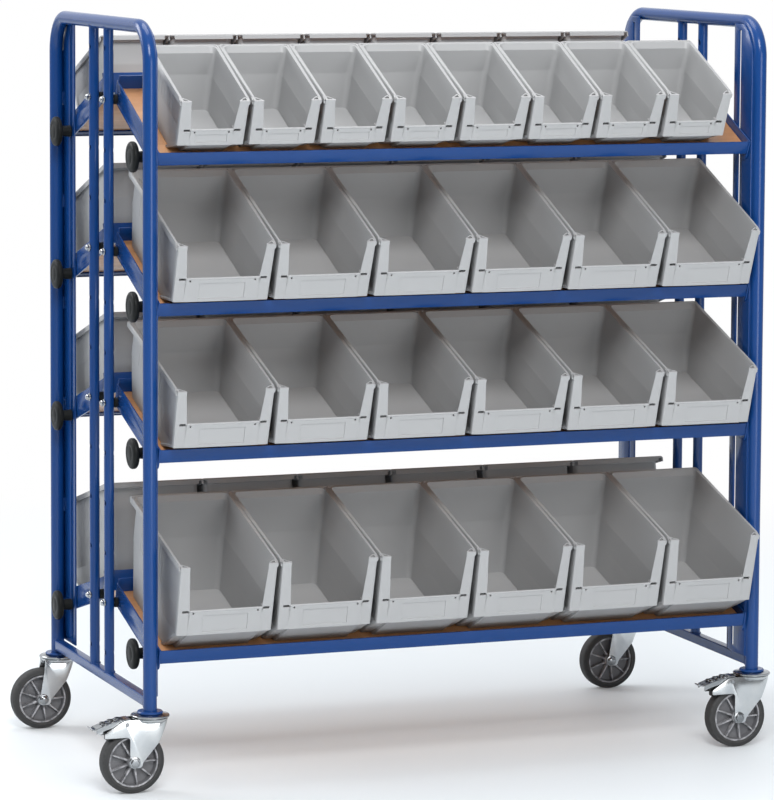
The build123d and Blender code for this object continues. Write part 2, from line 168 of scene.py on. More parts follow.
def make_edge_wear_highlight_mask():
    """A mask of the outer edges, broken up by noise: where handling rubs a finish, and on the wheel rims a
    painted highlight.
    """
    tree, given = node_group("worn_edges", "ShaderNodeTree",
                             [("Start", "Float", 0.53), ("Full", "Float", 0.6), ("Breakup", "Float", 90.0)],
                             [("Edges", "Float")])
    point = node(tree, "ShaderNodeNewGeometry").outputs["Pointiness"]
    span = map_range(tree, point, given["Start"], given["Full"])
    patches = map_range(tree, noise(tree, object_place(tree), given["Breakup"], 3.0), 0.35, 0.7)
    node(tree, "NodeGroupOutput", {"Edges": times(tree, span, patches)})
    return tree


def make_dust():
    """A thin film of dust on faces that look up, in soft patches."""
    tree, given = node_group("dust_film", "ShaderNodeTree", [("Patch Scale", "Float", 14.0)],
                             [("Dust", "Float")])
    normal = node(tree, "ShaderNodeNewGeometry").outputs["Normal"]
    up = node(tree, "ShaderNodeSeparateXYZ", {"Vector": normal}).outputs["Z"]
    patches = map_range(tree, noise(tree, object_place(tree), given["Patch Scale"], 5.0), 0.35, 0.75)
    node(tree, "NodeGroupOutput", {"Dust": times(tree, map_range(tree, up, 0.5, 1.0), patches)})
    return tree


mottle = make_mottle()
worn_edges = make_edge_wear_highlight_mask()
dust_film = make_dust()


def emptied(owner):
    """The node tree of a material or world, with nothing in it."""
    owner.use_nodes = True
    owner.node_tree.nodes.clear()
    return owner.node_tree


def principled(name, **constants):
    """A new material with one shader, and the numbers that are the same all over on its own sockets."""
    made = bpy.data.materials.new(name)
    tree = emptied(made)
    shader = node(tree, "ShaderNodeBsdfPrincipled", spaced(constants))
    node(tree, "ShaderNodeOutputMaterial", {"Surface": shader.outputs[0]})
    return made, tree, shader.inputs


def mottled(name, low, high, roughness, grain_depth, scales, edge_rub_and_highlight=None, dust=None, **constants):
    """A material in clouds between two tones, with a fine grain, and, where given, dust and a tone along the
    edges: rubbed wear on some materials, a painted highlight on others.

    scales: of the clouds and of the grain. edge_rub_and_highlight: amount, colour, and the group's three
    values. dust: amount and scale of its patches.
    """
    made, tree, sockets = principled(name, **constants)
    cloud = use(tree, mottle, Broad_Scale=scales[0], Fine_Scale=scales[1])
    colour = blend_colour(tree, cloud["Patches"], low, high)
    if edge_rub_and_highlight:
        amount, edge_colour, start, full, breakup = edge_rub_and_highlight
        edges = use(tree, worn_edges, Start=start, Full=full, Breakup=breakup)["Edges"]
        colour = blend_colour(tree, times(tree, edges, amount), colour, edge_colour)
    if dust:
        amount, patch_scale = dust
        film = use(tree, dust_film, Patch_Scale=patch_scale)["Dust"]
        colour = blend_colour(tree, times(tree, film, amount), colour, dust_colour)
    tree.links.new(colour, sockets["Base Color"])
    tree.links.new(map_range(tree, cloud["Patches"], 0.0, 1.0, *roughness), sockets["Roughness"])
    tree.links.new(bump(tree, cloud["Grain"], grain_depth), sockets["Normal"])
    return made


def link_object(name, mesh):
    made = bpy.data.objects.new(name, mesh)
    scene.collection.objects.link(made)
    return made


def evaluated_mesh(blank):
    """The plain mesh of an object with its modifiers, which is then removed."""
    mesh = bpy.data.meshes.new_from_object(blank.evaluated_get(bpy.context.evaluated_depsgraph_get()))
    bpy.data.objects.remove(blank)
    return mesh


def worked(mesh, *steps):
    """The mesh after a list of modifiers, each a kind and its settings."""
    blank = link_object("blank", mesh)
    for kind, settings in steps:
        modifier = blank.modifiers.new(kind, kind)
        for key, value in settings.items():
            setattr(modifier, key, value)
    return evaluated_mesh(blank)


def bevel(width, segments=2, angle=30):
    """Step for worked: ease the edges that are sharper than an angle."""
    return "BEVEL", {"width": width, "segments": segments, "limit_method": "ANGLE",
                     "angle_limit": radians(angle)}


def grown(mesh, tree, **values):
    """The mesh that a geometry node tree makes, with the tree's inputs set by their names."""
    blank = link_object("blank", mesh)
    modifier = blank.modifiers.new("grow", "NODES")
    modifier.node_group = tree
    for item in tree.interface.items_tree:
        label = item.name.lower().replace(" ", "_")
        if item.in_out == "INPUT" and label in values:
            modifier[item.identifier] = values[label]
    return evaluated_mesh(blank)


def plain_mesh(form):
    """Turn a bmesh into a mesh as it is."""
    mesh = bpy.data.meshes.new("form")
    form.to_mesh(mesh)
    form.free()
    return mesh


def mesh_of(form):
    """Turn a bmesh into a mesh with its normals pointing outwards."""
    bmesh.ops.remove_doubles(form, verts=form.verts, dist=0.001 * mm)
    bmesh.ops.recalc_face_normals(form, faces=form.faces)
    return plain_mesh(form)


def joined(meshes):
    """Several meshes as one, each kept as it is."""
    form = bmesh.new()
    for mesh in meshes:
        form.from_mesh(mesh)
    return plain_mesh(form)


def moved(mesh, matrix):
    copy = mesh.copy()
    copy.transform(matrix)
    return copy


def offset(x=0.0, y=0.0, z=0.0):
    return Matrix.Translation((x, y, z))


def points_mesh(points, closed=False, edges=True):
    """A line through points, or the bare points."""
    mesh = bpy.data.meshes.new("points")
    count = len(points)
    pairs = [(n, (n + 1) % count) for n in range(count if closed else count - 1)] if edges else []
    mesh.from_pydata(points, pairs, [])
    return mesh


def turned(profile, steps=48):
    """A shape turned about Z from (radius, height) points, listed from its lower end to its upper end."""
    form = bmesh.new()
    rings = []
    angles = [2 * pi * n / steps for n in range(steps)]
    for radius, height in profile:
        if radius < 0.001 * mm:
            rings.append([form.verts.new((0, 0, height))] * steps)
        else:
            rings.append([form.verts.new((radius * cos(angle), radius * sin(angle), height))
                          for angle in angles])
    for low, high in zip(rings, rings[1:]):
        for n in range(steps):
            m = (n + 1) % steps
            unique = list(dict.fromkeys([low[n], low[m], high[m], high[n]]))
            if len(unique) > 2:
                form.faces.new(unique)
    return mesh_of(form)


def near(radius, height, *steps):
    """Profile points at so many millimetres from one radius and height."""
    return [(radius + outwards * mm, height + upwards * mm) for outwards, upwards in steps]


def both_ends(half):
    """A profile from its upper half, with the mirror image below it."""
    return [(radius, -height) for radius, height in reversed(half)] + half


def lofted(loops, closed=True):
    """A skin from each loop of points to the next, with a face over both ends where the loops are closed."""
    form = bmesh.new()
    rings = [[form.verts.new(point) for point in loop] for loop in loops]
    count = len(rings[0])
    for low, high in zip(rings, rings[1:]):
        for n in range(count if closed else count - 1):
            m = (n + 1) % count
            form.faces.new((low[n], low[m], high[m], high[n]))
    if closed:
        form.faces.new(rings[0])
        form.faces.new(rings[-1])
    return mesh_of(form)


def prism(outline, low, high):
    """A solid with a flat outline in X and Y, between two heights."""
    return lofted([[(x, y, z) for x, y in outline] for z in (low, high)])


def rounded_square(size, radius, steps=4):
    """Corner points of a square about the origin, with each corner as an arc."""
    points = []
    for turn, (x, y) in enumerate(((1, 1), (-1, 1), (-1, -1), (1, -1))):
        for n in range(steps + 1):
            angle = radians(90) * (turn + n / steps)
            points.append((x * (size / 2 - radius) + radius * cos(angle),
                           y * (size / 2 - radius) + radius * sin(angle)))
    return points


def piece(name, mesh, material, body, stands_for=(), smooth=35):
    """Show a finished mesh as a piece that moves with a body."""
    mesh.materials.clear()
    mesh.materials.append(material)
    mesh.shade_smooth()
    mesh.set_sharp_from_angle(angle=radians(smooth))
    made = link_object(name, mesh)
    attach(made, body)
    for cad_node in stands_for:
        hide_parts(cad_node)


def shape_tree(name, *inputs):
    """A geometry tree with named inputs, the last of them its material, and the sockets of its input node."""
    return node_group(name, "GeometryNodeTree", [*inputs, ("Finish", "Material", None)],
                      [("Result", "Geometry")])


def close_tree(tree, given, geometry):
    """End a geometry tree with real geometry that carries the material."""
    real = out(tree, "GeometryNodeRealizeInstances", {0: geometry})
    painted = out(tree, "GeometryNodeSetMaterial", {"Geometry": real, "Material": given["Finish"]})
    node(tree, "NodeGroupOutput", {"Result": painted})
    return tree


def on_points(tree, points, shape, **more):
    return out(tree, "GeometryNodeInstanceOnPoints", {"Points": points, "Instance": shape, **more})


def shape_of(tree, which):
    """The geometry of an object that an input names."""
    return node(tree, "GeometryNodeObjectInfo", {"Object": which}).outputs["Geometry"]


def point_row(tree, given, axis):
    """Points in a row along an axis, from the tree's inputs First, Pitch and Count."""
    first, step = (out(tree, "ShaderNodeCombineXYZ", {axis: given[label]}) for label in ("First", "Pitch"))
    return out(tree, "GeometryNodeMeshLine", {"Count": given["Count"], "Start Location": first,
                                              "Offset": step})


def make_swept_tube():
    """A round tube along a line whose corners are bent."""
    tree, given = shape_tree("swept_tube", ("Line", "Geometry", None), ("Radius", "Float", 0.01),
                             ("Bend Radius", "Float", 0.05))
    line = out(tree, "GeometryNodeMeshToCurve", {"Mesh": given["Line"]})
    bent = out(tree, "GeometryNodeFilletCurve", {"Curve": line, "Radius": given["Bend Radius"], "Count": 16},
               mode="POLY")
    ring = out(tree, "GeometryNodeCurvePrimitiveCircle", {"Resolution": 40, "Radius": given["Radius"]})
    tube = out(tree, "GeometryNodeCurveToMesh", {"Curve": bent, "Profile Curve": ring, "Fill Caps": True})
    return close_tree(tree, given, tube)


def make_drilled_tube():
    """Upright tubes on given foot points, with a row of holes through them along X.

    The cylinder that cuts the bore is a tenth longer than the tube, so that it passes both ends.
    """
    tree, given = shape_tree("drilled_tube", ("Feet", "Geometry", None), ("Radius", "Float", 0.01),
                             ("Wall", "Float", 0.002), ("Length", "Float", 1.0), ("Drill", "Object", None),
                             ("First", "Float", 0.1), ("Pitch", "Float", 0.1), ("Count", "Int", 10))
    bore = out(tree, "ShaderNodeMath", {0: given["Radius"], 1: given["Wall"]}, operation="SUBTRACT")
    centre = out(tree, "ShaderNodeCombineXYZ", {"Z": times(tree, given["Length"], 0.5)})
    solids = []
    for radius, length in ((given["Radius"], given["Length"]), (bore, times(tree, given["Length"], 1.1))):
        solid = out(tree, "GeometryNodeMeshCylinder", {"Vertices": 48, "Radius": radius, "Depth": length})
        solids.append(out(tree, "GeometryNodeTransform", {"Geometry": solid, "Translation": centre}))
    holes = on_points(tree, point_row(tree, given, "Z"), shape_of(tree, given["Drill"]),
                      Rotation=(0, pi / 2, 0))
    cut = node(tree, "GeometryNodeMeshBoolean", {"Mesh 1": solids[0]}, operation="DIFFERENCE")
    for cutter in (solids[1], holes):
        tree.links.new(cutter, cut.inputs["Mesh 2"])
    return close_tree(tree, given, on_points(tree, given["Feet"], cut.outputs[0]))


def make_weld_bead():
    """Overlapping drops of weld metal along a line."""
    tree, given = shape_tree("weld_bead", ("Line", "Geometry", None), ("Radius", "Float", 0.002),
                             ("Step", "Float", 0.002))
    line = out(tree, "GeometryNodeMeshToCurve", {"Mesh": given["Line"]})
    spots = out(tree, "GeometryNodeCurveToPoints", {"Curve": line, "Length": given["Step"]}, mode="LENGTH")
    drop = out(tree, "GeometryNodeMeshIcoSphere", {"Radius": given["Radius"], "Subdivisions": 2})
    return close_tree(tree, given, on_points(tree, spots, drop))


# Glossy, with a fine orange peel and a trace of dust
powder_coat = mottled("blue_powder_coat", (0.004, 0.04, 0.168, 1), (0.005, 0.043, 0.178, 1), (0.17, 0.22),
                      0.05 * mm, (3.0, 420.0), dust=(0.06, 14.0), IOR=1.5, Specular_IOR_Level=0.33)
swept_tube = make_swept_tube()
drilled_tube = make_drilled_tube()
weld_bead = make_weld_bead()


def beaded(line):
    """A painted weld bead along a line."""
    return grown(line, weld_bead, radius=bead_r, step=bead_step, finish=powder_coat)


def bead_loop(x, y, shape, count=40):
    """Closed line round a joint: shape gives the three coordinates for an angle."""
    return points_mesh([shape(x, y, 2 * pi * n / count) for n in range(count)], closed=True)


def foot_joint(x, y, angle):
    return x + tube_r * cos(angle), y + tube_r * sin(angle), rail_top


def bar_joint(x, y, angle):
    across = tube_r * cos(angle)
    return x + across, y + tube_r * sin(angle), bar_z - sqrt(leg_r ** 2 - across ** 2)


drill_half = [(hole_r, sink_from), (sink_r, sink_full), (sink_r, drill_end), (0, drill_end)]
drill = link_object("drill", turned(both_ends(drill_half), 24))
foot_disc = turned([(0, 0), *near(foot_disc_r, 0, (-1.2, 0), (0, 1.2), (0, 3)),
                    (foot_disc_r - 1.6 * mm, foot_disc_t), (0, foot_disc_t)])
rail_outline = rounded_square(low_rail_size, rail_corner_r)
rail = prism(rail_outline, leg_y["front"] + leg_r / 2, leg_y["rear"] - leg_r / 2)
for end, x in end_x.items():
    hoop = points_mesh([(x, leg_y["front"], leg_foot), (x, leg_y["front"], bar_z),
                        (x, leg_y["rear"], bar_z), (x, leg_y["rear"], leg_foot)])
    parts = [grown(hoop, swept_tube, radius=leg_r, bend_radius=bend_r, finish=powder_coat)]
    feet = points_mesh([(x, y, rail_top - tube_sink) for y in tube_y.values()], edges=False)
    parts.append(grown(feet, drilled_tube, radius=tube_r, wall=tube_wall, length=bar_z - leg_r / 2 - rail_top,
                       drill=drill, first=lowest_hole_z - rail_top + tube_sink, pitch=hole_pitch,
                       count=hole_count, finish=powder_coat))
    parts += [moved(foot_disc, offset(x, y, frame_low.z)) for y in leg_y.values()]
    parts.append(moved(rail, offset(x, 0, rail_mid) @ Matrix.Rotation(-pi / 2, 4, "X")))
    beads = [bead_loop(x, y, joint) for y in tube_y.values() for joint in (foot_joint, bar_joint)]
    for side, y in leg_y.items():
        on_leg = [(x + across, y - outward[side] * sqrt(leg_r ** 2 - across ** 2), rail_mid + up)
                  for across, up in rail_outline]
        beads.append(points_mesh(on_leg, closed=True))
    parts += [beaded(line) for line in beads]
    piece(f"{end}_welded_end_frame", joined(parts), powder_coat, "cart_frame",
          [f"{end}_end_frame"])
bpy.data.objects.remove(drill)


# Guide plates
# A flat steel plate is welded inside each leg, with one long slot for the studs of the clamping knobs. It
# reaches up to the push bar and follows its bend. Stitch welds hold it, and paint fills the seam.
plate_bevel = 0.6 * mm
stitch_length = 24 * mm
stitch_pitch = 210 * mm
stitch_count = 6
first_stitch = 60 * mm
stitch_from_leg = 4.2 * mm
plate_top_gap = 5 * mm
plate_edge_zone = 24 * mm
cad_slot_margin = 14 * mm
slot_top_gap = 18 * mm
seam_r = 1.5 * mm
seam_from_leg = 1.2 * mm
seam_sink = 0.6 * mm
bend_cuts = [rise * mm for rise in (0, 18, 34, 48, 58)]


def clean_form(cad_node):
    """A flat CAD piece as a bmesh, with its triangles merged into whole faces."""
    form = bmesh.new()
    form.from_mesh(frame["nodes"][cad_node].data)
    bmesh.ops.remove_doubles(form, verts=form.verts, dist=0.01 * mm)
    bmesh.ops.dissolve_limit(form, angle_limit=radians(0.5), verts=form.verts, edges=form.edges)
    return form


def eased(form, width):
    """The mesh of a bmesh with its sharp edges eased."""
    return worked(plain_mesh(form), bevel(width, angle=50))


def cut_across(form, place, normal):
    bmesh.ops.bisect_plane(form, geom=form.verts[:] + form.edges[:] + form.faces[:], plane_co=place,
                           plane_no=normal)


plate_low, plate_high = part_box("guide_plates")
bend_start = bar_z - bend_r
plates = clean_form("guide_plates")
for rise in bend_cuts:
    cut_across(plates, (0, 0, bend_start + rise), (0, 0, 1))
for vert in plates.verts:
    if vert.co.z > plate_high.z - 1 * mm:
        vert.co.z = bar_z - plate_top_gap
    elif abs(vert.co.z - plate_high.z + cad_slot_margin) < 1 * mm:
        vert.co.z = bar_z - slot_top_gap
    rise = max(0.0, vert.co.z - bend_start)
    for side, y in leg_y.items():
        if abs(vert.co.y - y) < plate_edge_zone and rise > 0:
            bent = bend_r - sqrt(bend_r ** 2 - rise ** 2)
            vert.co.y = y - outward[side] * max(abs(vert.co.y - y), bent)
parts = [eased(plates, plate_bevel)]
for end, x in end_x.items():
    for side, y in leg_y.items():
        seam_x = x + inward[end] * (leg_r - seam_sink)
        seam_y = y - outward[side] * seam_from_leg
        stitch_y = y - outward[side] * stitch_from_leg
        seam = points_mesh([(seam_x, seam_y, z) for z in (plate_low.z, bend_start)])
        parts.append(grown(seam, swept_tube, radius=seam_r, bend_radius=0.0, finish=powder_coat))
        for n in range(stitch_count):
            z = plate_low.z + first_stitch + stitch_pitch * n
            parts.append(beaded(points_mesh([(seam_x, stitch_y, z), (seam_x, stitch_y, z + stitch_length)])))
piece("slotted_guide_plates", joined(parts), powder_coat, "cart_frame", ["guide_plates"])


# Pivot bolts and spacers
# Each shelf hangs on two bolts through the middle tubes: a zinc plated hexagon head inside the arm, a nut
# outside the tube, and a black moulded spacer between tube and arm.
arm_face = 17.2 * mm
arm_inner = 20.2 * mm
bolt_r = 4 * mm
hex_r = 6 * mm
head_t = 4.5 * mm
nut_t = 6.5 * mm
hex_rise = 1 * mm
washer_r = 7.5 * mm
washer_t = 1.2 * mm
bolt_past_nut = 2 * mm
bolt_tip = 0.6 * mm
spacer_r = 10 * mm


def facing(x_turn):
    """Turn a shape from +Z so that it points along +X or -X."""
    return Matrix.Rotation(x_turn * pi / 2, 4, "Y")


def make_copies():
    """Copies of one shape on given points."""
    tree, given = shape_tree("copies", ("Points", "Geometry", None), ("Shape", "Object", None))
    return close_tree(tree, given, on_points(tree, given["Points"], shape_of(tree, given["Shape"])))


def copied(mesh, points, finish):
    """One shape repeated on points, as a plain mesh."""
    shape = link_object("shape", mesh)
    whole = grown(points_mesh(points, edges=False), copies, shape=shape, finish=finish)
    bpy.data.objects.remove(shape)
    return whole


def make_zinc(name, low, high):
    """Zinc plating with the soft cloudy sheen of passivated steel, between two tones."""
    return mottled(name, low, high, (0.13, 0.2), 0.008 * mm, (26.0, 500.0), dust=(0.08, 30.0), Metallic=1.0)


def hexagon(radius, thick):
    """A hexagon head lying on z = 0, with its outer corners turned off."""
    flat = 0.96 * radius * cos(radians(30))
    loops = [[(reach * cos(radians(60 * n)), reach * sin(radians(60 * n)), height) for n in range(6)]
             for height, reach in ((0, radius), (thick - 0.8 * mm, radius), (thick, flat))]
    return worked(lofted(loops), bevel(0.3 * mm))


def shank(low, high):
    """The thread of a bolt along Z, with a chamfered tip at its low end."""
    return turned([(0, low), (bolt_r - bolt_tip, low), (bolt_r, low + bolt_tip), (bolt_r, high),
                   (0, high)], 24)


def hexagon_on_collar(radius, thick, collar_r, collar_t):
    """A bolt head or nut with a round collar or washer under it."""
    collar = turned([(bolt_r, 0), (collar_r, 0), (collar_r, collar_t), (bolt_r, collar_t)], 32)
    return joined([collar, moved(hexagon(radius, thick - hex_rise), offset(z=hex_rise))])


zinc = make_zinc("zinc_plating", (0.48, 0.5, 0.52, 1), (0.6, 0.61, 0.61, 1))
# Matt, with a fine spark-eroded texture, a little rubbed and dusty
black_plastic = mottled("black_plastic", (0.007, 0.008, 0.008, 1), (0.01, 0.011, 0.011, 1), (0.38, 0.52),
                        0.06 * mm, (18.0, 1400.0), edge_rub_and_highlight=(0.3, (0.06, 0.06, 0.06, 1), 0.52, 0.6, 90.0),
                        dust=(0.05, 22.0), IOR=1.45, Specular_IOR_Level=0.12)
copies = make_copies()
pivot_z = [joints[f"front_shelf_{tier}_tilt"]["pos_m"][2] for tier in (1, 2, 3, 4)]
head_part = moved(hexagon_on_collar(hex_r, head_t, washer_r, washer_t), offset(z=arm_inner))
nut_part = moved(hexagon_on_collar(hex_r, nut_t, washer_r, washer_t),
                 offset(z=-tube_r) @ Matrix.Rotation(pi, 4, "Y"))
bolt = joined([head_part, shank(-tube_r - nut_t - bolt_past_nut, arm_inner), nut_part])
spacer = turned([(bolt_r, tube_r - 1 * mm), *near(spacer_r, tube_r, (-2.5, -1), (-0.8, 0.4), (0, 1.4)),
                 *near(spacer_r, arm_face, (0, -1), (-1, -0.1)), (bolt_r, arm_face - 0.1 * mm)], 40)
pivots = {end: [(x, y, z) for y in tube_y.values() for z in pivot_z] for end, x in end_x.items()}
for name, shape, material, slot, cad_node in (
        ("hexagon_pivot_bolts", bolt, zinc, "zinc", "pivot_bolts"),
        ("moulded_pivot_spacers", spacer, black_plastic, "black_plastic", "pivot_spacers")):
    rows = [copied(moved(shape, facing(inward[end])), points, material) for end, points in pivots.items()]
    piece(name, joined(rows), material, "cart_frame", [cad_node])


# Shelf trays
# Two flat steel arms carry a front rail, a back rail and ledges of folded sheet, welded at the corners and
# powder coated. The arms turn on the pivot bolts and have a slot each for a knob's stud.
tray_bevel = 0.6 * mm
rail_front = 278 * mm
rail_back = -16 * mm
rail_low = 4 * mm
front_rail_top = 31 * mm
back_rail_top = 45 * mm
tray_half = 642 * mm - arm_inner
bead_inset = 4.5 * mm


def shelf_place(side, tier):
    """Where a shelf lies: x along the cart, y outwards from its pivot, z above it."""
    joint = joints[f"{side}_shelf_{tier}_tilt"]
    lean = -radians(joint["range_deg"][0])
    way = outward[side]
    columns = ((way, 0, 0), (0, way * cos(lean), -sin(lean)), (0, way * sin(lean), cos(lean)))
    return Matrix.Translation(joint["pos_m"]) @ Matrix(columns).transposed().to_4x4()


shelves = {f"{side}_shelf_{tier}": (side, tier) for side in ("front", "rear") for tier in (1, 2, 3, 4)}
corner_lines = []
for x in (0.5 * mm - tray_half, tray_half - 0.5 * mm):
    for y, top in ((rail_front - bead_inset, front_rail_top), (rail_back + bead_inset, back_rail_top)):
        corner_lines.append([(x, y, top - 11 * mm), (x, y, top - 1 * mm)])
        corner_lines.append([(x, y, rail_low + 0.5 * mm), (x, y, rail_low + 4 * mm)])
corner_beads = joined([beaded(points_mesh(line)) for line in corner_lines])
for name, (side, tier) in shelves.items():
    sheets = eased(clean_form(f"{name}_frame"), tray_bevel)
    tray = joined([sheets, moved(corner_beads, shelf_place(side, tier))])
    piece(f"{name}_tray", tray, powder_coat, name, [f"{name}_frame"])


# Boards
# Each tray holds a loose board of clear lacquered beech, glued up from strips, with rounded front corners.
# Its grain runs along the cart.
board_bevel = 0.8 * mm
strip_w = 42 * mm
strip_length = 520 * mm
glue_line = 0.4 * mm


def make_beech():
    """Lacquered beech: strips of slightly different tone, long grain and short dark flecks."""
    made, tree, sockets = principled("lacquered_beech", IOR=1.5, Coat_Roughness=0.2, Coat_Weight=0.25)
    where = object_place(tree)
    strips = node(tree, "ShaderNodeTexBrick", {
        "Vector": where, "Scale": 1.0, "Mortar Size": glue_line, "Mortar Smooth": 0.2,
        "Brick Width": strip_length, "Row Height": strip_w, "Color1": (0, 0, 0, 1), "Color2": (1, 1, 1, 1),
        "Mortar": (0.35, 0.35, 0.35, 1)})
    along = out(tree, "ShaderNodeMapping", {"Vector": where, "Scale": (2.2, 46.0, 46.0)})
    grain = noise(tree, along, 1.0, 6.0, Roughness=0.6, Distortion=0.6)
    short = out(tree, "ShaderNodeMapping", {"Vector": where, "Scale": (170.0, 900.0, 900.0)})
    fleck = noise(tree, short, 1.0, 2.0)
    colour = blend_colour(tree, strips.outputs["Color"], (0.49, 0.235, 0.1, 1), (0.57, 0.29, 0.135, 1))
    for mask, darker in ((map_range(tree, grain, 0.35, 0.7, 0.0, 0.6), (0.44, 0.21, 0.085, 1)),
                         (map_range(tree, fleck, 0.62, 0.74, 0.0, 0.45), (0.30, 0.13, 0.05, 1)),
                         (map_range(tree, strips.outputs["Fac"], 0.0, 1.0, 0.0, 0.5), (0.22, 0.10, 0.04, 1))):
        colour = blend_colour(tree, mask, colour, darker)
    tree.links.new(colour, sockets["Base Color"])
    tree.links.new(map_range(tree, grain, 0.3, 0.7, 0.34, 0.5), sockets["Roughness"])
    tree.links.new(bump(tree, fleck, 0.08 * mm), sockets["Normal"])
    return made


beech = make_beech()
for name in shelves:
    piece(f"{name}_beech_board", eased(clean_form(f"{name}_board"), board_bevel), beech, name,
          [f"{name}_board"])


# Bins
# Open-front storage bins, injection moulded in light grey plastic: a flanged rim, two slanting front posts
# with a slot each, a lip with a label recess, a sloping chin, and faint ribs up the sides.
skin_t = 2.4 * mm
rim_w = 6 * mm
rim_h = 9 * mm
base_inset = 10 * mm
ledge = 8 * mm
toe_in = 17 * mm
wall_step = 0.8 * mm
step_rise = 6 * mm
front_gap_share = 0.022
front_taper_share = 0.01
foot_ease = 1.5 * mm
chin_corner = 17 * mm
chin_step = 10 * mm
chin_undercut = 3 * mm
post_top_w = 12 * mm
post_low_w = 19 * mm
post_depth = 15 * mm
post_flat = 12 * mm
post_top_depth = 17 * mm
back_corner = 13 * mm
nose = 3 * mm
rib_w = 3 * mm
rib_t = 0.4 * mm
rib_sink = 0.4 * mm
rib_pitch = 17 * mm
rib_count = 9
slot_h = 2.4 * mm
slot_depth = 10 * mm
dot_w = 3.6 * mm
dot_from = 25 * mm
dot_depth = 6 * mm
label_half_share = 0.45
label_edge = 0.8 * mm
label_depth = 1.6 * mm
label_below_lip = 9 * mm
foot_strip = 0.9 * mm
foot_strip_h = 6 * mm
rim_corner = 2 * mm
notch_w = 7 * mm
lip_bead_r = 2.3 * mm
hair = 0.1 * mm
rim_steps = ((0.15, 0.0), (0.3, -2.4 * mm), (0.58, -2.4 * mm), (0.72, 0.0), (0.8, 0.0), (1.0, -1.8 * mm),
             (1.0, -rim_h))
board_top = 17 * mm
bin_sizes = {"small": (142, 128, 54, 66, 246, 288, 285, 36, 67),
             "low": (204.4, 147, -26, -12, 245, 300, 298, 29, 77),
             "tall": (204.4, 201, -26, -12, 240, 304, 300, 59, 108)}
rows = {1: ("small", 8, 145 * mm), 2: ("low", 6, 205 * mm), 3: ("low", 6, 205 * mm), 4: ("tall", 6, 205 * mm)}


def between(low, high, share):
    return low + (high - low) * share


